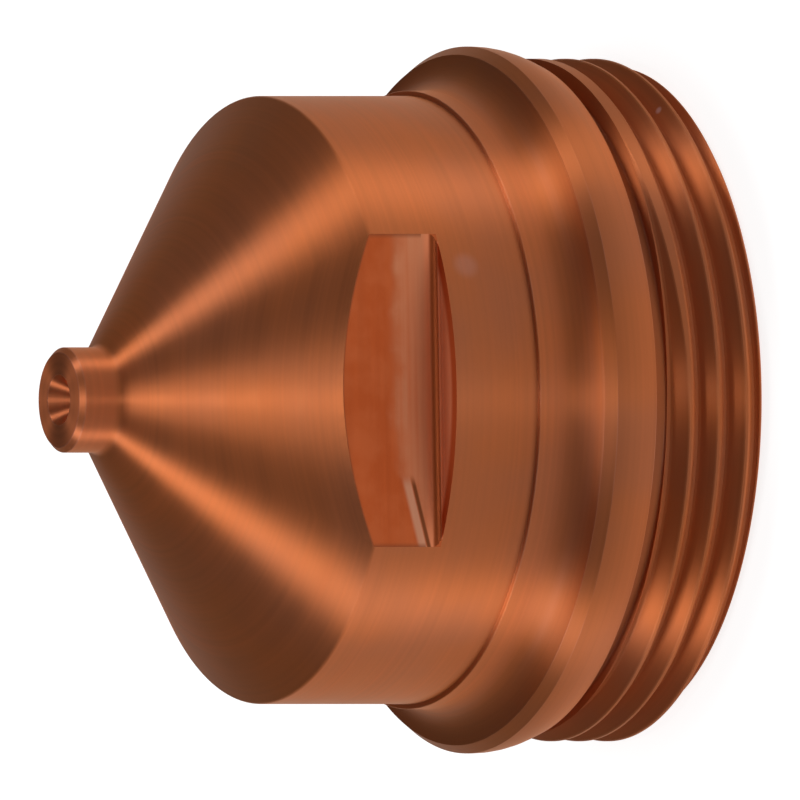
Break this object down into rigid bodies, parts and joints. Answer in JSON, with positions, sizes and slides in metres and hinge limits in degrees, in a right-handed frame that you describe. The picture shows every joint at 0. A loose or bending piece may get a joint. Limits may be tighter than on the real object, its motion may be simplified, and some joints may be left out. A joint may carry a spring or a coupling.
{
  "type": "plasma torch nozzle",
  "caption": "One-piece copper constricting nozzle for a plasma cutting torch, with a slim tip on a wide cone, wrench flats, a crowned flange and an external thread.",
  "frame": {"origin": "centre of the flat rear face, on which the nozzle stands", "axes": "+Z along the turning axis towards the tip, Y square to the two wrench flats"},
  "size_m": [0.0342, 0.0342, 0.0302],
  "materials": {
    "turned_copper": "fine-turned bare copper, slightly darkened, satin with bright streaks across the tool marks"
  },
  "bodies": {
    "root": {"nozzle_body": "turned_copper"}
  },
  "joints": []
}
